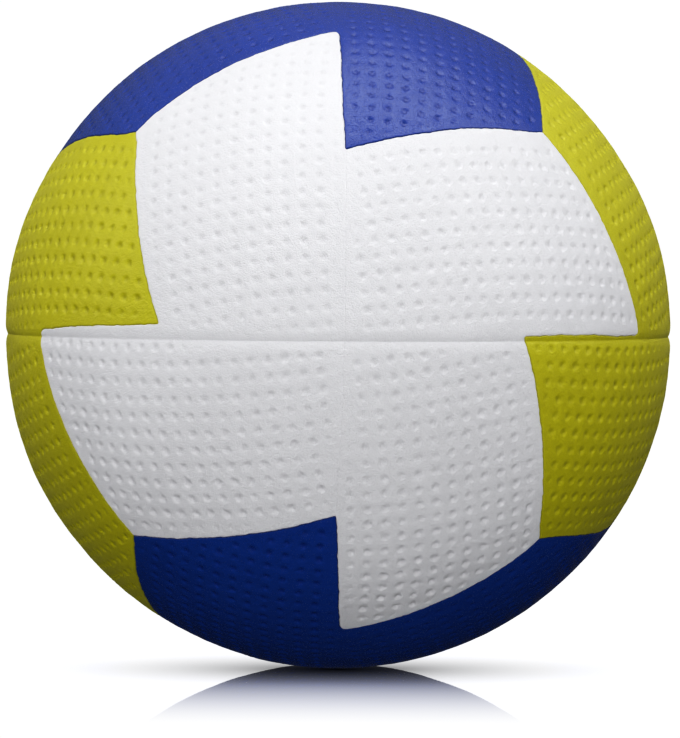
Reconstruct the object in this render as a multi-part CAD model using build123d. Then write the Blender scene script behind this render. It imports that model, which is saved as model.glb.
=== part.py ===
from build123d import *
import os
from math import sin, cos, radians, sqrt

# ---------------------------------------------------------------------------
# Driving dimensions, millimetres and degrees
# ---------------------------------------------------------------------------
BALL_R = 81.0          # outside radius: circumference about 509 mm, a size 1 handball
COVER_T = 2.6          # cellular rubber cover
BOND = 0.05            # bond line between one layer and the next
CARCASS_T = 0.8        # solid rubber layer under the cover
WINDING_T = 0.5        # nylon thread winding
BLADDER_T = 0.9        # butyl air bladder

TIP_DEG = 59.5         # how far a panel's blade reaches along its seam from the face centre
JOINT_GAP = 0.10       # joint between two neighbouring panels
TIP_R = 1.6            # rounded end of each blade
LIP_R = 0.30           # softened outer edge of each panel
GROOVE_R = 0.65        # mould parting groove round the equator

VALVE_AIM = (0.314, 0.853, 0.417)   # radial line of the valve, through one rear panel
COVER_HOLE_R = 4.5     # hole in the cover over the valve
NECK_R = 4.3           # valve housing neck, through all the layers
NECK_TOP = 80.5        # neck's outer end, measured from the ball's centre
FLANGE_R = 11.0        # housing flange, vulcanised to the inside of the bladder
FLANGE_T = 1.6
BARREL_R = 5.2         # housing barrel, inside the bladder
BARREL_END = 65.5
INSERT_R = 3.0         # removable plug
INSERT_CLEAR = 0.05    # running clearance round the plug
INSERT_END = 67.4
HEAD_R = 3.7           # plug head
HEAD_CLEAR = 0.06
HEAD_T = 1.0
NEEDLE_R = 1.05        # inflation needle hole
NEEDLE_DEPTH = 7.0
VENT_R = 1.3           # air way at the barrel's inner end

PANEL_IN = BALL_R - COVER_T
CARCASS_OUT = PANEL_IN - BOND
CARCASS_IN = CARCASS_OUT - CARCASS_T
WINDING_OUT = CARCASS_IN - BOND
WINDING_IN = WINDING_OUT - WINDING_T
BLADDER_OUT = WINDING_IN - BOND
BLADDER_IN = BLADDER_OUT - BLADDER_T
FLANGE_OUT = BLADDER_IN - BOND

os.makedirs("parts", exist_ok=True)


def shell(r_out, r_in):
    """Hollow sphere between two radii."""
    return Sphere(r_out) - Sphere(r_in)


def rod(r, z0, z1):
    """Round bar along +Z from z0 to z1."""
    return Pos(0, 0, (z0 + z1) / 2) * Cylinder(r, z1 - z0)


# ---------------------------------------------------------------------------
# One cover panel. Three great circles cut the ball into eight octants, and
# three panels meet at the middle of each octant. A panel runs from its face
# centre A along the seam towards B, on to the octant's middle, and back along
# the seam towards C. All of its sides are planes through the ball's centre.
# ---------------------------------------------------------------------------
A = Vector(1, 0, 0)
tip = Vector(cos(radians(TIP_DEG)), sin(radians(TIP_DEG)), 0)
middle = Vector(1, 1, 1) / sqrt(3)
inner = Vector(sin(radians(TIP_DEG)), 0, cos(radians(TIP_DEG)))
corners = [A, tip, middle, inner]

panel = shell(BALL_R, PANEL_IN)
for i in range(4):
    n = corners[i].cross(corners[(i + 1) % 4]).normalized()
    side = Plane(origin=n * (JOINT_GAP / 2), z_dir=n)
    panel = split(panel, bisect_by=side, keep=Keep.TOP)

# rounded blade end
tip_edges = [e for e in panel.edges()
             if e.geom_type == GeomType.LINE and (e.center().normalized() - tip).length < 0.02]
panel = fillet(tip_edges, TIP_R)

# softened outer lip
lip = [e for e in panel.edges()
       if abs((e @ 0).length - BALL_R) < 1e-3 and abs((e @ 1).length - BALL_R) < 1e-3]
panel = fillet(lip, LIP_R)
panel = panel.solids()[0]

# ---------------------------------------------------------------------------
# Faces of the ball and their colours
# ---------------------------------------------------------------------------
FACES = {
    (0, -1, 0): ("front", "white"),
    (0, 1, 0): ("back", "white"),
    (-1, 0, 0): ("left", "yellow"),
    (1, 0, 0): ("right", "yellow"),
    (0, 0, 1): ("top", "blue"),
    (0, 0, -1): ("bottom", "blue"),
}


def cross(a, b):
    return (a[1] * b[2] - a[2] * b[1], a[2] * b[0] - a[0] * b[2], a[0] * b[1] - a[1] * b[0])


def panel_name(face, octant):
    side, colour = FACES[face]
    x = "right" if octant[0] > 0 else "left"
    y = "back" if octant[1] > 0 else "front"
    z = "upper" if octant[2] > 0 else "lower"
    if face[1]:
        where = f"{z}_{x}"
    elif face[0]:
        where = f"{z}_{y}"
    else:
        where = f"{y}_{x}"
    return f"{side}_{colour}_panel_{where}"


aim = Vector(*VALVE_AIM).normalized()
valve_frame = Location(Plane(origin=(0, 0, 0), x_dir=(0.853, -0.314, 0), z_dir=(aim.X, aim.Y, aim.Z)))
cover_hole = valve_frame * rod(COVER_HOLE_R, 60, 95)
layer_hole = valve_frame * rod(NECK_R + BOND, 60, 95)
groove = Torus(BALL_R, GROOVE_R)

count = 0
for a in FACES:
    for b in FACES:
        c = cross(a, b)
        if c == (0, 0, 0):
            continue
        octant = tuple(a[i] + b[i] + c[i] for i in range(3))
        cell = panel.moved(Location(Plane(origin=(0, 0, 0), x_dir=a, z_dir=c)))
        if a[2] == 0:
            cell = cell - groove
        if a == (0, 1, 0) and octant == (1, 1, 1):
            cell = cell - cover_hole
        name = panel_name(a, octant)
        solid = cell.solids()[0]
        export_step(solid, f"parts/{name}.step")
        count += 1
assert count == 24

# ---------------------------------------------------------------------------
# Layers under the cover, each one a hollow sphere with the valve's hole
# ---------------------------------------------------------------------------
carcass = shell(CARCASS_OUT, CARCASS_IN) - layer_hole
export_step(carcass.solids()[0], "parts/rubber_carcass.step")

winding = shell(WINDING_OUT, WINDING_IN) - layer_hole
export_step(winding.solids()[0], "parts/thread_winding.step")

bladder = shell(BLADDER_OUT, BLADDER_IN) - layer_hole
export_step(bladder.solids()[0], "parts/air_bladder.step")

# ---------------------------------------------------------------------------
# Valve housing: a domed flange against the bladder, a neck out through the
# layers and a barrel inside, bored for the plug
# ---------------------------------------------------------------------------
flange = shell(FLANGE_OUT, FLANGE_OUT - FLANGE_T) & rod(FLANGE_R, 60, 90)
housing = flange + rod(NECK_R, FLANGE_OUT - FLANGE_T - 0.5, NECK_TOP)
housing = housing + rod(BARREL_R, BARREL_END, FLANGE_OUT - 0.6)
head_seat = NECK_TOP - HEAD_T - 0.15
housing = housing - rod(INSERT_R + INSERT_CLEAR, INSERT_END - 0.3, 90)
housing = housing - rod(HEAD_R + HEAD_CLEAR, head_seat, 90)
housing = housing - rod(VENT_R, 60, 70)
export_step((valve_frame * housing.solids()[0]), "parts/valve_housing.step")

# Valve plug: a stem in the barrel, a low head in the neck and a needle hole
plug = rod(INSERT_R, INSERT_END, head_seat + 0.2) + rod(HEAD_R, head_seat + 0.05, head_seat + 0.05 + HEAD_T)
top = head_seat + 0.05 + HEAD_T
rim = [e for e in plug.edges().filter_by(GeomType.CIRCLE)
       if abs(e.center().Z - top) < 1e-3]
plug = fillet(rim, 0.35)
foot = [e for e in plug.edges().filter_by(GeomType.CIRCLE)
        if abs(e.center().Z - INSERT_END) < 1e-3]
plug = chamfer(foot, 0.5)
plug = plug - rod(NEEDLE_R, top - NEEDLE_DEPTH, 90)
export_step((valve_frame * plug.solids()[0]), "parts/valve_plug.step")

print("needle mouth at", tuple(round(v, 4) for v in (aim * top)), "axis", tuple(round(v, 6) for v in aim))
print("layers", PANEL_IN, CARCASS_OUT, CARCASS_IN, WINDING_OUT, WINDING_IN, BLADDER_OUT, BLADDER_IN)
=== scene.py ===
import math

import bpy
import numpy as np
from mathutils import Matrix, Vector


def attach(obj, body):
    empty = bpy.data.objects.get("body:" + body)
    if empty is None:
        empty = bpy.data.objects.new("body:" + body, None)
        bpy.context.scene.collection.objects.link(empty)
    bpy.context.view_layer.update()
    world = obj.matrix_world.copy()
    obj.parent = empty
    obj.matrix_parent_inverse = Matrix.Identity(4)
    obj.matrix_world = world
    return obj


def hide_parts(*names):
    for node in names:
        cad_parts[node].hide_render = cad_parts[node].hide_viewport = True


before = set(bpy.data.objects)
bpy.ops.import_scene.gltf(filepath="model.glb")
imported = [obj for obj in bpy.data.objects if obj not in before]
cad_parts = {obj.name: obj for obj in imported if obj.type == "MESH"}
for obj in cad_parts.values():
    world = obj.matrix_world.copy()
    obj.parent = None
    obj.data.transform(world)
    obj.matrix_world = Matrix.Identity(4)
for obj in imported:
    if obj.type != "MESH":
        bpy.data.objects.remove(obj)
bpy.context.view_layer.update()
scene = bpy.context.scene

# ------------------------------------------------------------------ sizes, in millimetres
R_OUT = 81.0  # outside of the cover
R_IN = 78.4  # inside of the cover
TIP = math.radians(59.5)  # how far a panel's blade reaches along a great circle
GRID = 0.24  # spacing of the outer surface's grid
COARSE = 8  # the inner surface's grid is this much coarser
HOLE_R = 4.5  # hole for the valve in one white panel

AXES = {
    "front": (0, -1, 0),
    "back": (0, 1, 0),
    "left": (-1, 0, 0),
    "right": (1, 0, 0),
    "top": (0, 0, 1),
    "bottom": (0, 0, -1),
}
AXES = {k: np.array(v, float) for k, v in AXES.items()}
COLOUR = {
    "front": "white",
    "back": "white",
    "top": "blue",
    "bottom": "blue",
    "left": "yellow",
    "right": "yellow",
}
FACE_OF = {tuple(int(x) for x in v): k for k, v in AXES.items()}


def third(a, b):
    return FACE_OF[tuple(int(round(x)) for x in np.cross(AXES[a], AXES[b]))]


PAIRS = [(a, b) for a in AXES for b in AXES if abs(AXES[a] @ AXES[b]) < 0.5]


def panel_name(a, b):
    o = AXES[a] + AXES[b] + AXES[third(a, b)]
    ud = "upper" if o[2] > 0 else "lower"
    fb = "front" if o[1] < 0 else "back"
    lr = "left" if o[0] < 0 else "right"
    where = {
        "white": f"{ud}_{lr}",
        "yellow": f"{ud}_{fb}",
        "blue": f"{fb}_{lr}",
    }[COLOUR[a]]
    return f"{a}_{COLOUR[a]}_panel_{where}"


# ------------------------------------------------------------------ panel outlines on the sphere
# How far the hand-laid corners sit from the ideal ones (mm); the rest get small seeded offsets.
CORNER_OFF = {
    ("front", "top"): (-0.70, 2.51, 1.43),
    ("top", "front"): (0.17, 0.82, 1.35),
    ("left", "front"): (-0.18, 0.18, 3.45),
    ("front", "left"): (-0.27, 0.49, 1.62),
    ("bottom", "front"): (-1.47, -1.12, 2.00),
    ("front", "bottom"): (-0.18, -3.19, 1.97),
    ("right", "front"): (-0.72, -0.40, 1.12),
    ("front", "right"): (-0.87, -1.46, 0.98),
    ("right", "top"): (-1.36, -0.06, 0.30),
    ("bottom", "right"): (0.13, -0.09, 0.83),
    ("left", "bottom"): (-0.20, -0.12, 0.01),
    ("top", "left"): (-0.25, -0.19, -0.43),
}
CENTRE_OFF = {
    ("front", "left", "top"): (-0.66, 1.02, 0.33),
    ("front", "right", "top"): (-0.82, -0.03, 0.80),
    ("bottom", "front", "left"): (-0.88, -0.22, 1.10),
    ("bottom", "front", "right"): (-0.99, -1.89, 0.93),
}
# How far an edge bows sideways at 10, 30, 50, 70 and 90 % of its length (mm).
INNER_BOW = {
    ("front", "left"): (-0.23, -0.45, -0.61, -0.09, -0.20),
    ("front", "right"): (-0.16, -0.21, -0.27, -0.40, -0.27),
    ("front", "top"): (0.47, 0.08, -0.56, -0.79, -0.63),
    ("front", "bottom"): (0.19, -0.14, -0.11, -0.50, -0.41),
    ("left", "front"): (0.12, 0.05, -0.31, -0.55, -0.64),
    ("left", "bottom"): (-0.60, -1.29, -1.07, -0.66, -0.30),
    ("right", "front"): (0.01, -0.02, -0.05, -0.48, -0.49),
    ("right", "top"): (0.15, 0.28, -0.09, -0.42, -0.22),
    ("top", "front"): (0.00, 0.01, 0.11, 0.01, -0.35),
    ("top", "left"): (0.10, 0.20, -0.13, -0.54, -0.84),
    ("bottom", "front"): (0.02, -0.09, -0.15, -0.29, -0.25),
    ("bottom", "right"): (1.20, 2.20, 0.70, -0.53, -0.73),
}
MIDDLE_BOW = {
    ("front", "left"): (0.14, -0.09, -0.17, -0.10, -0.04),
    ("front", "right"): (0.03, 0.30, 0.26, -0.18, -0.13),
    ("front", "top"): (-0.08, 0.26, 0.13, -0.03, 0.18),
    ("bottom", "front"): (-0.21, -0.01, -0.35, -0.11, -0.17),
}
TIP_ROUND = {
    ("front", "top"): 3.6,
    ("front", "left"): 3.0,
    ("front", "bottom"): 3.6,
    ("front", "right"): 2.0,
}


def unit(v):
    return v / np.linalg.norm(v, axis=-1, keepdims=True)


def smooth(x):
    x = np.clip(x, 0.0, 1.0)
    return x * x * (3 - 2 * x)


def slerp(p, q, n):
    p, q = unit(p), unit(q)
    w = math.acos(float(np.clip(p @ q, -1, 1)))
    u = np.linspace(0, 1, n)[:, None]
    return (np.sin((1 - u) * w) * p + np.sin(u * w) * q) / math.sin(w)


def lengths(poly):
    return np.concatenate(
        [[0], np.cumsum(np.linalg.norm(np.diff(poly, axis=0), axis=1))]
    ) * R_OUT


def at(poly, mm):
    cum = lengths(poly)
    return unit(np.stack([np.interp(mm, cum, poly[:, k]) for k in range(3)], -1))


def part_of(poly, start, end, n):
    return at(poly, np.linspace(start, end, n))


def hand_cut(poly, rng, amp, bow):
    """Moves the line sideways: the measured bow, and a little the way a trimmed edge wanders."""
    cum = lengths(poly)
    side = unit(np.cross(poly, np.gradient(poly, axis=0)))
    d = np.zeros(len(poly))
    for lam, a in ((26, 0.6), (13, 0.5), (7.7, 0.35), (5.2, 0.35), (3.6, 0.4), (2.4, 0.3), (1.6, 0.2)):
        d += a * np.sin(
            2 * np.pi * (cum / (lam * rng.uniform(0.85, 1.15)) + rng.random())
        )
    env = smooth(cum / 3.0) * smooth((cum[-1] - cum) / 3.0)
    d = amp * d * env
    if bow:
        u = cum / cum[-1]
        curve = np.interp(u, (0, 0.1, 0.3, 0.5, 0.7, 0.9, 1), (0.5 * bow[0], *bow, 0.5 * bow[-1]))
        half = len(poly) // 12
        window = np.hanning(2 * half + 1)
        curve = np.convolve(np.pad(curve, half, mode="edge"), window / window.sum(), "valid")
        d = d + curve * smooth(cum / 4.0) * smooth((cum[-1] - cum) / 4.0)
    return unit(poly + side * (d / R_OUT)[:, None])


rng = np.random.default_rng(2024)
corner = {}
for a, b in PAIRS:
    ideal = math.cos(TIP) * AXES[a] + math.sin(TIP) * AXES[b]
    loose = rng.normal(0, 0.7, 3)
    off = np.array(CORNER_OFF.get((a, b), loose))
    corner[a, b] = unit(ideal + off / R_OUT)
centre = {}
for a, b in PAIRS:
    key = tuple(sorted((a, b, third(a, b))))
    if key not in centre:
        loose = rng.normal(0, 0.7, 3)
        off = np.array(CENTRE_OFF.get(key, loose))
        centre[key] = unit(sum(AXES[k] for k in key) / math.sqrt(3) + off / R_OUT)

# middle part of each great circle quarter, where two colours meet, and the edges to the octant centres
middle, inner = {}, {}
for a, b in PAIRS:
    if a < b:
        line = hand_cut(
            slerp(corner[b, a], corner[a, b], 600), rng, 0.09, MIDDLE_BOW.get((a, b))
        )
        middle[a, b], middle[b, a] = line, line[::-1]
for a, b in PAIRS:
    key = tuple(sorted((a, b, third(a, b))))
    inner[a, b] = hand_cut(
        slerp(corner[a, b], centre[key], 700), rng, 0.09, INNER_BOW.get((a, b))
    )

# rounds the blade tips: both edges end on the middle of a small curve
for a, b in PAIRS:
    r = TIP_ROUND.get((a, b), 2.0 if COLOUR[a] == "white" else 0.7)
    m, e = middle[a, b], inner[a, b]
    lm, le = lengths(m)[-1], lengths(e)[-1]
    p0, p1, p2 = at(m, lm - r), corner[a, b], at(e, r)
    t = np.linspace(0, 1, 121)[:, None]
    curve = unit((1 - t) ** 2 * p0 + 2 * t * (1 - t) * p1 + t * t * p2)
    m = np.concatenate([part_of(m, 0, lm - r, 560)[:-1], curve[:61]])
    e = np.concatenate([curve[60:], part_of(e, r, le, 640)[1:]])
    middle[a, b], middle[b, a], inner[a, b] = m, m[::-1], e

# from the face's centre to the first corner: the two panels beside this part have one colour
start = {}
for a, b in PAIRS:
    end = inner[b, a][0]
    ideal = math.sin(TIP) * AXES[a] + math.cos(TIP) * AXES[b]
    base = slerp(AXES[a], ideal, 500)
    u = np.linspace(0, 1, 500)[:, None]
    flat = abs(AXES[a][2]) < 0.5 and abs(AXES[b][2]) < 0.5
    w = smooth((u - 0.8) / 0.2) if flat else u**1.2
    start[a, b] = unit(base + (end - unit(ideal)) * w)

# ------------------------------------------------------------------ dimples, shared by all panels in the panel's own plane
CEN = np.array([0.85309207, 0.41662125, 0.31410294])
E1 = np.array([-0.39096254, 0.90908016, -0.14394986])
E2 = np.cross(CEN, E1)
PHASE = {
    "front_white_panel_upper_left": (0.24, 0.87),
    "front_white_panel_upper_right": (0.61, 0.90),
    "front_white_panel_lower_left": (0.70, 0.84),
    "front_white_panel_lower_right": (0.47, 0.82),
    "left_yellow_panel_upper_front": (0.26, 0.01),
    "left_yellow_panel_lower_front": (0.41, 0.48),
    "right_yellow_panel_lower_front": (0.35, 0.0),
    "right_yellow_panel_upper_front": (0.37, 0.86),
    "top_blue_panel_front_right": (0.36, 0.08),
    "bottom_blue_panel_front_left": (0.35, 0.90),
}
DIMPLE_R = {"white": 1.07, "yellow": 1.04, "blue": 0.95}  # core of a dimple
DIMPLE_DEPTH = 0.25
DISH_R = 1.85  # the soft skin dips towards it
DISH_DEPTH = 0.12
# How deep the dimples are pressed, where it differs from one panel to another.
PRESS = {
    "front_white_panel_upper_left": 0.74,
    "front_white_panel_upper_right": 0.84,
    "front_white_panel_lower_left": 1.12,
    "front_white_panel_lower_right": 0.98,
    "left_yellow_panel_upper_front": 1.25,
    "bottom_blue_panel_front_left": 1.08,
    "right_yellow_panel_lower_front": 0.90,
}


def to_plane(m):
    w = np.arccos(np.clip(m @ CEN, -1, 1))
    d = m - (m @ CEN)[..., None] * CEN
    k = np.where(w > 1e-9, w / np.maximum(np.linalg.norm(d, axis=-1), 1e-12), 1.0)
    return R_OUT * np.stack([(d @ E1) * k, (d @ E2) * k], -1)


def from_plane(q):
    r = np.linalg.norm(q, axis=-1)[..., None]
    d = (q[..., :1] * E1 + q[..., 1:] * E2) / np.maximum(r, 1e-9)
    return np.cos(r / R_OUT) * CEN + np.sin(r / R_OUT) * d


class Waves:
    """A smooth random field in space: a sum of plane waves with seeded directions."""

    def __init__(self, seed, count, shortest, longest):
        g = np.random.default_rng(seed)
        lam = np.exp(g.uniform(math.log(shortest), math.log(longest), count))
        self.k = (unit(g.normal(size=(count, 3))) * (2 * np.pi / lam)[:, None]).T
        self.phase = g.uniform(0, 2 * np.pi, count)
        self.scale = math.sqrt(2.0 / count)

    def __call__(self, p):
        return np.sin(p @ self.k + self.phase).sum(-1) * self.scale


SWELL = Waves(11, 14, 35, 110)
UNEVEN = Waves(12, 36, 5, 14)
GRAIN = Waves(13, 60, 1.2, 2.6)
FINE = Waves(16, 60, 0.55, 1.1)
CREASE = Waves(14, 40, 4.0, 9.0)
CREASE_WHERE = Waves(15, 16, 18, 40)
WARP_X = Waves(17, 40, 1.6, 4.0)
WARP_Y = Waves(18, 40, 1.6, 4.0)


def relief(v, q, d, cell):
    """Height over the ball's radius (mm) at directions v, with q in the panel's plane and d the distances to its edges."""
    p = v * R_OUT
    name = cell["name"]
    g = np.random.default_rng(cell["seed"])
    if name in PHASE:
        phi = np.array(PHASE[name])
    else:
        phi = np.array([0.35, 0.95]) + g.normal(0, 0.12, 2)
    la, lb, ang = 3.90, 3.95, 11.0
    if name == "front_white_panel_upper_left":
        la, ang = 3.87, 9.7
    a1, a2 = math.radians(ang), math.radians(ang + 90.0)
    basis = np.array(
        [[la * math.cos(a1), lb * math.cos(a2)], [la * math.sin(a1), lb * math.sin(a2)]]
    )
    n = np.rint(q @ np.linalg.inv(basis).T - phi)
    jit = g.normal(0, 0.06, (64, 64, 2))
    deep = 1 + g.normal(0, 0.11, (64, 64))
    wide = 1 + g.normal(0, 0.04, (64, 64))
    i, j = n[:, 0].astype(int) + 32, n[:, 1].astype(int) + 32
    bent = q + 0.035 * np.stack([WARP_X(p), WARP_Y(p)], -1)
    r = np.linalg.norm(bent - ((n + phi) @ basis.T + jit[i, j]), axis=-1) / wide[i, j]
    pit = DIMPLE_DEPTH * np.clip(1 - (r / DIMPLE_R[cell["colour"]]) ** 2, 0, 1) ** 1.2
    pit += DISH_DEPTH * np.clip(1 - (r / DISH_R) ** 2, 0, 1) ** 2
    amount = (
        smooth((d["bottom"] - 0.8) / 3.0)
        * smooth((d["left"] - 0.8) / 3.0)
        * smooth((d["right"] - 0.6) / 2.6)
        * smooth((d["top"] - 1.2) / 3.8)
    )
    if cell["hole"]:
        rv = np.linalg.norm(q, axis=-1)
        amount = amount * smooth((rv - 5.6) / 3.0)
    amount = deep[i, j] * amount * cell["press"]
    h = -amount * pit
    # painted shade: how much the colour darkens in each dimple's core, where shade falls
    dark = amount * np.clip(1 - (r / 0.90) ** 2, 0, 1)
    # mould parting groove round the equator
    z = np.abs(p[:, 2])
    h -= 0.46 * np.clip(1 - z / 2.6, 0, 1) ** 2 + 0.07 * np.clip(1 - z / 0.5, 0, 1)
    # joints: a shallow lip where two colours meet, a hairline where the colour goes on
    def lip(x):
        return 0.09 * np.clip(1 - x / 0.5, 0, 1) ** 2 + 0.11 * np.clip(1 - x / 0.17, 0, 1)

    two = smooth((d["along"] - cell["along"]) / 1.0 + 0.5)
    edge = np.maximum(lip(d["right"]), lip(d["top"]))
    edge = np.maximum(edge, (two + (1 - two) * cell["hair_bottom"]) * lip(d["bottom"]))
    edge = np.maximum(edge, cell["hair_left"] * lip(d["left"]))
    h -= edge
    rim = np.minimum(d["right"], d["top"])
    rim = np.minimum(rim, np.where(d["along"] > cell["along"], d["bottom"], 9.0))
    rim = np.clip(1 - rim / 0.30, 0, 1)
    # the skin is not quite even: long swells, hand-made unevenness, creases and grain
    h += 0.13 * SWELL(p) + 0.024 * UNEVEN(p) + 0.008 * GRAIN(p) + 0.0135 * cell["press"] * FINE(p)
    where = smooth((CREASE_WHERE(p) - 0.35) / 0.8)
    h -= 0.045 * where * np.exp(-((CREASE(p) / 0.08) ** 2))
    if cell["hole"]:
        h += 0.10 * smooth((8.2 - rv) / 1.2) - 0.30 * np.clip(
            1 - (rv - HOLE_R) / 0.55, 0, 1
        ) ** 2
    return h, dark, rim


# ------------------------------------------------------------------ panel meshes
def stations(total, h):
    """Positions along a side (mm): even steps, with closer ones next to both ends."""
    near = np.array([0.0, 0.07, 0.16, 0.29])
    count = int(round((total - 0.58) / h))
    count += (-(count + 6)) % COARSE
    mid = np.linspace(0.29, total - 0.29, count + 1)
    return np.concatenate([near[:3], mid, total - near[:3][::-1]])


def make_mesh(name, verts, loops, sizes, uvs, shades):
    mesh = bpy.data.meshes.new(name)
    mesh.vertices.add(len(verts))
    mesh.vertices.foreach_set("co", (verts / 1000.0).astype(np.float32).ravel())
    mesh.loops.add(len(loops))
    mesh.loops.foreach_set("vertex_index", loops.astype(np.int32))
    mesh.polygons.add(len(sizes))
    first = np.concatenate([[0], np.cumsum(sizes)[:-1]]).astype(np.int32)
    mesh.polygons.foreach_set("loop_start", first)
    mesh.update(calc_edges=True)
    if uvs is not None:
        layer = mesh.uv_layers.new(name="OFBake")
        layer.data.foreach_set("uv", uvs.astype(np.float32).ravel())
    for label, value in shades.items():
        full = np.zeros(len(verts), np.float32)
        full[: len(value)] = value
        mesh.attributes.new(label, "FLOAT", "POINT").data.foreach_set("value", full)
    mesh.polygons.foreach_set("use_smooth", np.ones(len(sizes), bool))
    mesh.set_sharp_from_angle(angle=math.radians(55))
    obj = bpy.data.objects.new(name, mesh)
    scene.collection.objects.link(obj)
    return obj


def build_panel(a, b, seed):
    c = third(a, b)
    turn = np.stack([AXES[a], AXES[b], AXES[c]], 1)  # panel's own frame to the object's
    name = panel_name(a, b)
    hole = name == "back_white_panel_upper_right"
    first = start[a, b]
    bottom = np.concatenate([first, middle[a, b][1:]])
    right, top, left = inner[a, b], inner[c, a], start[a, c]
    lb, lr, lt, ll = (lengths(x)[-1] for x in (bottom, right, top, left))
    s = stations((lb + lt) / 2, GRID)
    t = stations((lr + ll) / 2, GRID)
    s, t = s / s[-1], t / t[-1]
    ns, nt = len(s) - 1, len(t) - 1

    flat = lambda poly, u, total: to_plane(at(poly, u * total) @ turn)
    B, T = flat(bottom, s, lb), flat(top, s, lt)
    L, Rr = flat(left, t, ll), flat(right, t, lr)
    S, U = s[:, None, None], t[None, :, None]
    q = (
        (1 - U) * B[:, None]
        + U * T[:, None]
        + (1 - S) * L[None]
        + S * Rr[None]
        - (1 - S) * (1 - U) * B[0]
        - S * (1 - U) * B[-1]
        - (1 - S) * U * T[0]
        - S * U * T[-1]
    )
    block = None
    if hole:  # the grid's middle block becomes a round hole
        m = 2 * COARSE
        k = np.argmin(np.linalg.norm(q[::COARSE, ::COARSE], axis=-1))
        i0, j0 = np.unravel_index(k, q[::COARSE, ::COARSE].shape[:2])
        i0, j0 = i0 * COARSE, j0 * COARSE
        ring = np.maximum(
            np.abs(np.arange(ns + 1) - i0)[:, None], np.abs(np.arange(nt + 1) - j0)
        )
        w = 1 - smooth((ring - m) / (2.6 * m))
        w[ring < m] = 1
        d = q / np.maximum(np.linalg.norm(q, axis=-1, keepdims=True), 1e-6)
        rad = (ring * (HOLE_R / m))[..., None]
        q = w[..., None] * d * rad + (1 - w[..., None]) * q
        block = (i0 - m, i0 + m, j0 - m, j0 + m)
    # a hairline of air between the pieces, narrower where the colour goes on
    own = lengths(first)[-1]
    two = 0.004 + 0.008 * smooth((s * lb - own) / 1.0 + 0.5)
    for sl, nx, gap in (
        (np.s_[0, :], np.s_[1, :], np.full(nt + 1, 0.004)),
        (np.s_[-1, :], np.s_[-2, :], np.full(nt + 1, 0.012)),
        (np.s_[:, 0], np.s_[:, 1], two),
        (np.s_[:, -1], np.s_[:, -2], np.full(ns + 1, 0.012)),
    ):
        step = q[nx] - q[sl]
        long = np.maximum(np.linalg.norm(step, axis=-1), 1e-6)
        q[sl] = q[sl] + step * (gap / long)[:, None]
    d = {
        "bottom": np.linalg.norm(q - q[:, :1], axis=-1).ravel(),
        "top": np.linalg.norm(q - q[:, -1:], axis=-1).ravel(),
        "left": np.linalg.norm(q - q[:1], axis=-1).ravel(),
        "right": np.linalg.norm(q - q[-1:], axis=-1).ravel(),
        "along": np.repeat(s * lb, nt + 1),
    }
    level = lambda x, y: abs(AXES[x][2]) < 0.5 and abs(AXES[y][2]) < 0.5
    cell = {
        "name": name,
        "colour": COLOUR[a],
        "seed": seed,
        "hole": hole,
        "along": own,
        "hair_bottom": 0.0 if level(a, b) else 0.25,
        "hair_left": 0.0 if level(a, c) else 0.25,
        "press": PRESS.get(name, {"white": 0.9, "blue": 0.8, "yellow": 1.0}[COLOUR[a]] - 0.15 * (a == "bottom")),
    }
    qf = q.reshape(-1, 2)
    v = unit(from_plane(qf) @ turn.T)
    height, dark, rim = relief(v, qf, d, cell)
    outer = v * (R_OUT + height)[:, None]

    # faces of the outer surface
    idx = np.arange((ns + 1) * (nt + 1)).reshape(ns + 1, nt + 1)
    quads = np.stack([idx[:-1, :-1], idx[1:, :-1], idx[1:, 1:], idx[:-1, 1:]], -1)
    keep = np.ones((ns, nt), bool)
    if block:
        keep[block[0] : block[1], block[2] : block[3]] = False
    quads = quads[keep]
    uv = np.stack(
        [
            np.repeat(0.004 + 0.992 * s, nt + 1),
            np.tile(0.125 + 0.871 * t, ns + 1),
        ],
        -1,
    )
    loops, sizes, uvs = [quads.ravel()], [np.full(len(quads), 4)], [uv[quads.ravel()]]
    verts, count = [outer], len(outer)

    def ring_of(i_lo, i_hi, j_lo, j_hi):
        """Grid places round a block, counter-clockwise."""
        out = [(i, j_lo) for i in range(i_lo, i_hi)]
        out += [(i_hi, j) for j in range(j_lo, j_hi)]
        out += [(i, j_hi) for i in range(i_hi, i_lo, -1)]
        out += [(i_lo, j) for j in range(j_hi, j_lo, -1)]
        return out

    under = -np.ones((ns + 1, nt + 1), int)
    low = v * (R_IN + 0.02)
    rings = [(ring_of(0, ns, 0, nt), True)]
    if block:
        rings.append((ring_of(*block), False))
    for places, outside in rings:
        top_ids = np.array([idx[p] for p in places])
        low_ids = count + np.arange(len(places))
        verts.append(low[top_ids])
        for p, k in zip(places, low_ids):
            under[p] = k
        count += len(places)
        n1, n0 = np.roll(top_ids, -1), top_ids
        m1, m0 = np.roll(low_ids, -1), low_ids
        wall = np.stack([n1, n0, m0, m1], -1) if outside else np.stack([n0, n1, m1, m0], -1)
        u0 = 0.33 + 0.66 * np.arange(len(places)) / len(places)
        u1 = u0 + 0.66 / len(places)
        v_lo, v_hi = (0.060, 0.110) if outside else (0.010, 0.050)
        hi, lo = np.full(len(places), v_hi), np.full(len(places), v_lo)
        if outside:
            wuv = [(u1, hi), (u0, hi), (u0, lo), (u1, lo)]
        else:
            wuv = [(u0, hi), (u1, hi), (u1, lo), (u0, lo)]
        loops.append(wall.ravel())
        sizes.append(np.full(len(places), 4))
        uvs.append(np.stack([np.stack(x, -1) for x in wuv], 1).reshape(-1, 2))
    # inner surface, coarser, joined to the walls' lower edge
    for i in range(COARSE, ns, COARSE):
        for j in range(COARSE, nt, COARSE):
            if under[i, j] < 0 and not (
                block and block[0] < i < block[1] and block[2] < j < block[3]
            ):
                under[i, j] = count
                verts.append(low[idx[i, j]][None])
                count += 1

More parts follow.
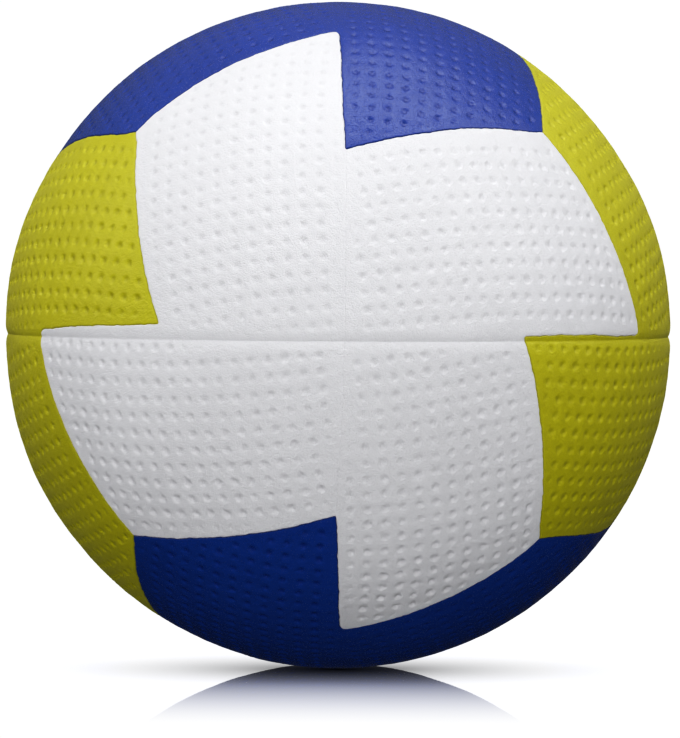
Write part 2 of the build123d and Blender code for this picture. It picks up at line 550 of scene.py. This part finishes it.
    def side(i0, j0, i1, j1):
        n = max(abs(i1 - i0), abs(j1 - j0))
        pts = [
            (i0 + (i1 - i0) * k // n, j0 + (j1 - j0) * k // n) for k in range(n)
        ]
        return [p for p in pts if under[p] >= 0]

    low_loops, low_uv = [], []
    low_sizes = []
    for i in range(0, ns, COARSE):
        for j in range(0, nt, COARSE):
            if block and block[0] <= i < block[1] and block[2] <= j < block[3]:
                continue
            e, f = i + COARSE, j + COARSE
            pts = side(i, j, e, j) + side(e, j, e, f) + side(e, f, i, f) + side(i, f, i, j)
            pts = pts[::-1]
            low_loops += [under[p] for p in pts]
            low_uv += [(0.004 + 0.30 * p[0] / ns, 0.006 + 0.105 * p[1] / nt) for p in pts]
            low_sizes.append(len(pts))
    loops.append(np.array(low_loops))
    sizes.append(np.array(low_sizes))
    uvs.append(np.array(low_uv))
    return make_mesh(
        "cover_" + name,
        np.concatenate(verts),
        np.concatenate(loops),
        np.concatenate(sizes),
        np.concatenate(uvs),
        # pit carries the painted shade of the dimples' cores
        {"pit": dark, "rim": rim},
    )


# ------------------------------------------------------------------ materials
def material(name):
    mat = bpy.data.materials.new(name)
    mat.use_nodes = True
    nt = mat.node_tree
    nt.nodes.clear()
    out = nt.nodes.new("ShaderNodeOutputMaterial")
    bsdf = nt.nodes.new("ShaderNodeBsdfPrincipled")
    nt.links.new(bsdf.outputs["BSDF"], out.inputs["Surface"])
    return mat, nt, bsdf


class Nodes:
    def __init__(self, nt):
        self.nt = nt
        tc = nt.nodes.new("ShaderNodeTexCoord")
        mm = nt.nodes.new("ShaderNodeVectorMath")
        mm.operation = "SCALE"
        mm.inputs["Scale"].default_value = 1000.0
        nt.links.new(tc.outputs["Object"], mm.inputs[0])
        self.mm = mm.outputs[0]  # position in millimetres

    def link(self, src, dst):
        self.nt.links.new(src, dst)

    def noise(self, scale, detail=2.0, rough=0.5, vec=None):
        n = self.nt.nodes.new("ShaderNodeTexNoise")
        n.inputs["Scale"].default_value = scale
        n.inputs["Detail"].default_value = detail
        n.inputs["Roughness"].default_value = rough
        self.link(vec or self.mm, n.inputs["Vector"])
        return n.outputs["Fac"]

    def cells(self, scale, feature="F1", vec=None):
        n = self.nt.nodes.new("ShaderNodeTexVoronoi")
        n.feature = feature
        n.inputs["Scale"].default_value = scale
        self.link(vec or self.mm, n.inputs["Vector"])
        return n.outputs["Distance"]

    def spread(self, src, a, b, c, d, smooth_step=False):
        n = self.nt.nodes.new("ShaderNodeMapRange")
        n.interpolation_type = "SMOOTHSTEP" if smooth_step else "LINEAR"
        for k, x in zip(("From Min", "From Max", "To Min", "To Max"), (a, b, c, d)):
            n.inputs[k].default_value = x
        self.link(src, n.inputs["Value"])
        return n.outputs["Result"]

    def math(self, op, a, b):
        n = self.nt.nodes.new("ShaderNodeMath")
        n.operation = op
        for k, x in enumerate((a, b)):
            if isinstance(x, (int, float)):
                n.inputs[k].default_value = x
            else:
                self.link(x, n.inputs[k])
        return n.outputs[0]

    def mix(self, fac, a, b):
        n = self.nt.nodes.new("ShaderNodeMix")
        n.data_type = "RGBA"
        self.link(fac, n.inputs["Factor"])
        for k, x in ((6, a), (7, b)):
            if isinstance(x, tuple):
                n.inputs[k].default_value = (*x, 1.0)
            else:
                self.link(x, n.inputs[k])
        return n.outputs[2]

    def bump(self, height, distance, strength):
        n = self.nt.nodes.new("ShaderNodeBump")
        n.inputs["Distance"].default_value = distance
        n.inputs["Strength"].default_value = strength
        self.link(height, n.inputs["Height"])
        return n.outputs["Normal"]


def cover_material(name, light, dark, pit, rim, rough, level, bump, sheen):
    mat, nt, bsdf = material(name)
    n = Nodes(nt)
    broad = n.noise(0.045, 3.0, 0.55)
    mid = n.noise(0.55, 1.0, 0.5)
    drawn = nt.nodes.new("ShaderNodeMapping")  # the finest grain runs a little along the mould line
    drawn.inputs["Scale"].default_value = (1.0, 1.0, 1.6)
    n.link(n.mm, drawn.inputs["Vector"])
    fine = n.noise(2.6, 0.0, 0.5, drawn.outputs["Vector"])
    leather = n.cells(1.6, "DISTANCE_TO_EDGE")
    pores = n.spread(n.cells(2.3, "F1"), 0.10, 0.42, 1.0, 0.0, True)

    def painted(label, full):
        """One of the mesh's own attributes, as a share of 0 to 1."""
        node = nt.nodes.new("ShaderNodeAttribute")
        node.attribute_name = label
        return n.spread(node.outputs["Fac"], 0.0, full, 0.0, 1.0)

    tone = n.math(
        "ADD",
        n.math("MULTIPLY", n.spread(broad, 0.3, 0.7, 0.0, 1.0), 0.35),
        n.math(
            "ADD",
            n.math("MULTIPLY", n.spread(fine, 0.3, 0.7, 0.0, 1.0), 0.30),
            n.math("MULTIPLY", pores, 0.35),
        ),
    )
    # painted shade at the bottom of the dimples, and a darker pressed rim at the joints
    colour = n.mix(painted("pit", 1.2), n.mix(tone, light, dark), pit)
    n.link(n.mix(painted("rim", 1.0), colour, rim), bsdf.inputs["Base Color"])
    n.link(
        n.math(
            "ADD",
            n.spread(mid, 0.3, 0.7, rough - 0.04, rough + 0.04),
            n.math("ADD", n.spread(fine, 0.3, 0.7, -0.05, 0.05), n.math("MULTIPLY", pores, 0.14)),
        ),
        bsdf.inputs["Roughness"],
    )
    height = n.math(
        "SUBTRACT",
        n.math(
            "ADD",
            n.math("MULTIPLY", n.spread(leather, 0.0, 0.18, 0.0, 1.0, True), 0.35),
            n.math("ADD", n.math("MULTIPLY", mid, 0.6), n.math("MULTIPLY", fine, 1.0)),
        ),
        n.math("MULTIPLY", pores, 0.5),
    )
    n.link(n.bump(height, 0.00003 * bump, 1.0), bsdf.inputs["Normal"])
    bsdf.inputs["IOR"].default_value = 1.5
    bsdf.inputs["Specular IOR Level"].default_value = level
    bsdf.inputs["Sheen Weight"].default_value = sheen
    bsdf.inputs["Sheen Roughness"].default_value = 0.4
    return mat


def rubber_material(name, light, dark, rough, scale, bump):
    mat, nt, bsdf = material(name)
    n = Nodes(nt)
    broad = n.noise(0.12 * scale, 3.0, 0.6)
    fine = n.noise(2.4 * scale, 4.0, 0.6)
    n.link(n.mix(n.spread(broad, 0.3, 0.7, 0, 1), light, dark), bsdf.inputs["Base Color"])
    n.link(n.spread(fine, 0.3, 0.7, rough - 0.08, rough + 0.08), bsdf.inputs["Roughness"])
    height = n.math("ADD", n.math("MULTIPLY", broad, 0.6), n.math("MULTIPLY", fine, 0.4))
    n.link(n.bump(height, 0.00008, bump), bsdf.inputs["Normal"])
    bsdf.inputs["Specular IOR Level"].default_value = 0.45
    return mat


def thread_material(name, light, dark):
    mat, nt, bsdf = material(name)
    n = Nodes(nt)
    layers = []
    for rot in ((0.3, 0.9, 0.2), (1.2, 0.1, 0.8), (0.7, 1.6, 2.1)):
        mp = nt.nodes.new("ShaderNodeMapping")
        mp.inputs["Rotation"].default_value = rot
        n.link(n.mm, mp.inputs["Vector"])
        w = nt.nodes.new("ShaderNodeTexWave")
        w.wave_type = "BANDS"
        w.bands_direction = "X"
        w.inputs["Scale"].default_value = 0.42
        w.inputs["Distortion"].default_value = 1.2
        w.inputs["Detail"].default_value = 1.0
        n.link(mp.outputs["Vector"], w.inputs["Vector"])
        layers.append(w.outputs["Fac"])
    height = n.math("MAXIMUM", layers[0], n.math("MAXIMUM", layers[1], layers[2]))
    fibre = n.noise(5.0, 3.0, 0.6)
    # darker where the strands lie low, between them: painted shade in the gaps
    n.link(n.mix(n.spread(height, 0.3, 1.0, 1.0, 0.0), light, dark), bsdf.inputs["Base Color"])
    n.link(n.spread(fibre, 0.3, 0.7, 0.55, 0.75), bsdf.inputs["Roughness"])
    n.link(
        n.bump(n.math("ADD", height, n.math("MULTIPLY", fibre, 0.2)), 0.0002, 0.7),
        bsdf.inputs["Normal"],
    )
    bsdf.inputs["Sheen Weight"].default_value = 0.3
    return mat


MATS = {
    "white_cover": cover_material(
        "white_cover",
        light=(0.865, 0.866, 0.895),
        dark=(0.807, 0.808, 0.837),
        # pit: colour of the painted shade in the dimples' cores
        pit=(0.765, 0.765, 0.79),
        rim=(0.84, 0.84, 0.865),
        rough=0.55,
        level=0.25,
        bump=2.2,
        sheen=0.04,
    ),
    "blue_cover": cover_material(
        "blue_cover",
        light=(0.010, 0.056, 0.345),
        dark=(0.007, 0.040, 0.265),
        # pit: colour of the painted shade in the dimples' cores
        pit=(0.007, 0.034, 0.245),
        rim=(0.004, 0.017, 0.12),
        rough=0.17,
        level=0.60,
        bump=1.9,
        sheen=0.0,
    ),
    "yellow_cover": cover_material(
        "yellow_cover",
        light=(0.588, 0.561, 0.004),
        dark=(0.488, 0.466, 0.003),
        # pit: colour of the painted shade in the dimples' cores
        pit=(0.455, 0.435, 0.003),
        rim=(0.40, 0.38, 0.003),
        rough=0.49,
        level=0.72,
        bump=1.8,
        sheen=0.04,
    ),
    "carcass_rubber": rubber_material(
        "carcass_rubber", (0.055, 0.055, 0.060), (0.040, 0.040, 0.044), 0.7, 1.0, 0.4
    ),
    "winding_thread": thread_material(
        "winding_thread", (0.72, 0.70, 0.64), (0.50, 0.48, 0.42)
    ),
    "bladder_rubber": rubber_material(
        "bladder_rubber", (0.032, 0.032, 0.034), (0.024, 0.024, 0.026), 0.45, 0.6, 0.3
    ),
    "valve_rubber": rubber_material(
        "valve_rubber", (0.040, 0.040, 0.043), (0.028, 0.028, 0.030), 0.5, 2.0, 0.4
    ),
    "plug_rubber": rubber_material(
        "plug_rubber", (0.065, 0.065, 0.067), (0.048, 0.048, 0.050), 0.55, 2.0, 0.4
    ),
}

# ------------------------------------------------------------------ the object
for k, (a, b) in enumerate(PAIRS):
    obj = build_panel(a, b, 500 + k)
    slot = COLOUR[a] + "_cover"
    obj.data.materials.append(MATS[slot])
    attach(obj, "ball")
    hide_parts(panel_name(a, b))
for node, slot in (
    ("rubber_carcass", "carcass_rubber"),
    ("thread_winding", "winding_thread"),
    ("air_bladder", "bladder_rubber"),
    ("valve_housing", "valve_rubber"),
    ("valve_plug", "plug_rubber"),
):
    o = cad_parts[node]
    o.data.materials.clear()
    o.data.materials.append(MATS[slot])

# ------------------------------------------------------------------ floor, light, camera
FLOOR_Z = -R_OUT / 1000.0
mesh = bpy.data.meshes.new("floor")
F = 40.0
mesh.from_pydata(
    [(-F, -F, FLOOR_Z), (F, -F, FLOOR_Z), (F, F, FLOOR_Z), (-F, F, FLOOR_Z)],
    [],
    [(0, 1, 2, 3)],
)
floor = bpy.data.objects.new("floor", mesh)
scene.collection.objects.link(floor)
mat = bpy.data.materials.new("floor")
mat.use_nodes = True
nt = mat.node_tree
nt.nodes.clear()
out = nt.nodes.new("ShaderNodeOutputMaterial")
pale = nt.nodes.new("ShaderNodeEmission")
pale.inputs["Strength"].default_value = 1.03
glo = nt.nodes.new("ShaderNodeBsdfGlossy")
glo.inputs["Roughness"].default_value = 0.02
# near-black surface for the painted contact shadow
shadow_black = nt.nodes.new("ShaderNodeBsdfDiffuse")
shadow_black.inputs["Color"].default_value = (0.01, 0.01, 0.012, 1)
tc = nt.nodes.new("ShaderNodeTexCoord")
sep = nt.nodes.new("ShaderNodeSeparateXYZ")
nt.links.new(tc.outputs["Object"], sep.inputs[0])
# polished close to the object, and less so towards the front
shine = nt.nodes.new("ShaderNodeMapRange")
shine.interpolation_type = "SMOOTHSTEP"
for k, x in zip(("From Min", "From Max", "To Min", "To Max"), (-0.114, -0.004, 0.0, 0.95)):
    shine.inputs[k].default_value = x
nt.links.new(sep.outputs["Y"], shine.inputs["Value"])
behind = nt.nodes.new("ShaderNodeMapRange")
for k, x in zip(("From Min", "From Max", "To Min", "To Max"), (0.01, 0.06, 1.0, 0.0)):
    behind.inputs[k].default_value = x
nt.links.new(sep.outputs["Y"], behind.inputs["Value"])
aside = nt.nodes.new("ShaderNodeMath")
aside.operation = "ABSOLUTE"
nt.links.new(sep.outputs["X"], aside.inputs[0])
beside = nt.nodes.new("ShaderNodeMapRange")
for k, x in zip(("From Min", "From Max", "To Min", "To Max"), (0.05, 0.10, 1.0, 0.0)):
    beside.inputs[k].default_value = x
nt.links.new(aside.outputs[0], beside.inputs["Value"])
along = nt.nodes.new("ShaderNodeMath")
along.operation = "MULTIPLY"
nt.links.new(shine.outputs["Result"], along.inputs[0])
nt.links.new(behind.outputs["Result"], along.inputs[1])
near = nt.nodes.new("ShaderNodeMath")
near.operation = "MULTIPLY"
nt.links.new(along.outputs[0], near.inputs[0])
nt.links.new(beside.outputs["Result"], near.inputs[1])
# near the object the floor's glow turns bluish: a painted reflection of the blue panels
reflection_tint = nt.nodes.new("ShaderNodeMix")
reflection_tint.data_type = "RGBA"
reflection_tint.inputs[6].default_value = (1.0, 1.0, 1.0, 1.0)
reflection_tint.inputs[7].default_value = (0.95, 0.99, 1.25, 1.0)
nt.links.new(near.outputs[0], reflection_tint.inputs["Factor"])
nt.links.new(reflection_tint.outputs[2], pale.inputs["Color"])
mirror = nt.nodes.new("ShaderNodeMixShader")
nt.links.new(near.outputs[0], mirror.inputs["Fac"])
nt.links.new(pale.outputs[0], mirror.inputs[1])
nt.links.new(glo.outputs[0], mirror.inputs[2])
# painted contact shadow: a near-black floor shade mixed in, kept to a small oval
mp = nt.nodes.new("ShaderNodeMapping")
mp.inputs["Scale"].default_value = (1 / 0.074, 1 / 0.036, 0.0)
mp.inputs["Location"].default_value = (0.0, 0.2, 0.0)
nt.links.new(tc.outputs["Object"], mp.inputs["Vector"])
far = nt.nodes.new("ShaderNodeVectorMath")
far.operation = "LENGTH"
nt.links.new(mp.outputs["Vector"], far.inputs[0])
oval = nt.nodes.new("ShaderNodeMapRange")
for k, x in zip(("From Min", "From Max", "To Min", "To Max"), (0.0, 1.0, 1.0, 0.0)):
    oval.inputs[k].default_value = x
nt.links.new(far.outputs["Value"], oval.inputs["Value"])
soft = nt.nodes.new("ShaderNodeMath")
soft.operation = "POWER"
soft.inputs[1].default_value = 1.6
nt.links.new(oval.outputs["Result"], soft.inputs[0])
mixs = nt.nodes.new("ShaderNodeMixShader")
nt.links.new(soft.outputs[0], mixs.inputs["Fac"])
nt.links.new(mirror.outputs[0], mixs.inputs[1])
nt.links.new(shadow_black.outputs[0], mixs.inputs[2])
nt.links.new(mixs.outputs[0], out.inputs["Surface"])
mesh.materials.append(mat)
floor.visible_diffuse = False
floor.visible_glossy = False
floor.visible_shadow = False

world = bpy.data.worlds.new("studio")
scene.world = world
world.use_nodes = True
nt = world.node_tree
nt.nodes.clear()
out = nt.nodes.new("ShaderNodeOutputWorld")
def background(strength):
    n = nt.nodes.new("ShaderNodeBackground")
    n.inputs["Color"].default_value = (1, 1, 1, 1)
    n.inputs["Strength"].default_value = strength
    return n


seen, ambient, mirrored = background(1.02), background(0.01), background(1.0)
tc = nt.nodes.new("ShaderNodeTexCoord")
sep = nt.nodes.new("ShaderNodeSeparateXYZ")
# what the object mirrors: dark below, a pale room at eye level, a paler ceiling
nt.links.new(tc.outputs["Generated"], sep.inputs[0])
parts = []
for values in ((-0.35, -0.05, 0.01, 0.11), (0.15, 0.75, 0.0, 0.30)):
    mr = nt.nodes.new("ShaderNodeMapRange")
    for k, x in zip(("From Min", "From Max", "To Min", "To Max"), values):
        mr.inputs[k].default_value = x
    nt.links.new(sep.outputs["Z"], mr.inputs["Value"])
    parts.append(mr.outputs["Result"])
room = nt.nodes.new("ShaderNodeMath")
room.operation = "ADD"
nt.links.new(parts[0], room.inputs[0])
nt.links.new(parts[1], room.inputs[1])
nt.links.new(room.outputs[0], mirrored.inputs["Strength"])
lp = nt.nodes.new("ShaderNodeLightPath")
m1 = nt.nodes.new("ShaderNodeMixShader")
m2 = nt.nodes.new("ShaderNodeMixShader")
nt.links.new(lp.outputs["Is Glossy Ray"], m1.inputs["Fac"])
nt.links.new(ambient.outputs[0], m1.inputs[1])
nt.links.new(mirrored.outputs[0], m1.inputs[2])
nt.links.new(lp.outputs["Is Camera Ray"], m2.inputs["Fac"])
nt.links.new(m1.outputs[0], m2.inputs[1])
nt.links.new(seen.outputs[0], m2.inputs[2])
nt.links.new(m2.outputs[0], out.inputs["Surface"])


def softbox(name, place, size_x, size_y, watts, glint=True):
    lamp = bpy.data.lights.new(name, "AREA")
    lamp.shape = "RECTANGLE"
    lamp.size, lamp.size_y = size_x, size_y
    lamp.energy = watts
    o = bpy.data.objects.new(name, lamp)
    scene.collection.objects.link(o)
    o.location = place
    o.rotation_mode = "QUATERNION"
    o.rotation_quaternion = (-Vector(place)).to_track_quat("-Z", "Y")
    o.visible_camera = False
    o.visible_glossy = glint
    return o


for name, place, size_x, size_y, watts in (
    ("overhead", (0.05, -0.12, 1.0), 0.85, 0.6, 4.4),
    ("front_top", (0.0, -0.15, 1.0), 1.2, 0.6, 1.4),
    ("front", (0.0, -1.40, 0.80), 0.9, 0.9, 5.1),
    ("front_low", (0.0, -1.60, 0.10), 0.9, 0.9, 8.2),
    ("left", (-1.35, -0.25, 0.85), 0.8, 0.8, 3.1),
    ("right", (1.35, -0.25, 0.85), 0.8, 0.8, 1.9),
    ("low_left", (-0.65, -1.13, -0.75), 0.7, 0.7, 1.95),
    ("low_right", (0.65, -1.13, -0.75), 0.7, 0.7, 1.4),
    ("side_left", (-1.50, -0.50, 0.30), 0.8, 0.8, 2.4),
    ("side_right", (1.50, -0.50, 0.30), 0.8, 0.8, 1.2),
    ("top_left", (-0.90, -0.20, 1.15), 0.8, 0.8, 1.5),
    ("top_right", (0.90, -0.20, 1.15), 0.8, 0.8, 4.2),
    ("back_left", (-1.30, 0.80, 0.55), 0.8, 0.8, 4.0),
    ("back_right", (1.30, 0.80, 0.55), 0.8, 0.8, 2.1),
    ("low", (0.0, -1.20, -0.90), 1.0, 0.6, 1.25),
    ("back", (0.0, 1.40, 0.80), 0.9, 0.9, 3.0),
    ("back_low", (0.0, 1.60, 0.10), 0.9, 0.9, 7.0),
):
    # the lights before, behind and below the object only fill it, so that its outline has no glare from any side
    softbox(name, place, size_x, size_y, watts, not name.startswith(("back", "front", "low")))

# lights for the floor alone: the sky over it, and the pale walls that it mirrors
only = bpy.data.collections.new("floor_only")
only.objects.link(floor)
sun = bpy.data.lights.new("floor_light", "SUN")
sun.energy = 3.0
sun.angle = math.radians(160)
sun_o = bpy.data.objects.new("floor_light", sun)
scene.collection.objects.link(sun_o)
sun_o.light_linking.receiver_collection = only
for name, x, y in (("back", 0, 1), ("front", 0, -1), ("left", -1, 0), ("right", 1, 0)):
    wall = softbox("floor_wall_" + name, (3.0 * x, 3.0 * y, 0.5), 6.0, 2.0, 45.0)
    wall.rotation_quaternion = Vector((-x, -y, 0)).to_track_quat("-Z", "Y")
    wall.light_linking.receiver_collection = only

cam = bpy.data.cameras.new("camera")
cam.sensor_fit = "AUTO"
cam.sensor_width = 36.0
cam.lens = 161.8
cam.shift_x, cam.shift_y = 0.0026, -0.0466
cam.clip_start, cam.clip_end = 0.01, 100.0
cam_o = bpy.data.objects.new("camera", cam)
scene.collection.objects.link(cam_o)
CAM = np.array(
    [
        [0.99983522, -0.00496832, -0.01746005],
        [-0.01736421, 0.01872079, -0.99967395],
        [0.00529357, 0.99981241, 0.01863143],
    ]
)
cam_m = np.eye(4)
cam_m[:3, :3] = CAM
cam_m[:3, 3] = CAM[:, 2] * R_OUT / 100.0
cam_o.matrix_world = Matrix(cam_m.tolist())
scene.camera = cam_o
scene.view_settings.view_transform = "Standard"
scene.view_settings.look = "None"
scene.view_settings.use_curve_mapping = True
tones = scene.view_settings.curve_mapping
for x, y in ((0.035, 0.019), (0.08, 0.050), (0.15, 0.105), (0.25, 0.210), (0.40, 0.400), (0.65, 0.670)):
    tones.curves[3].points.new(x, y)
tones.update()
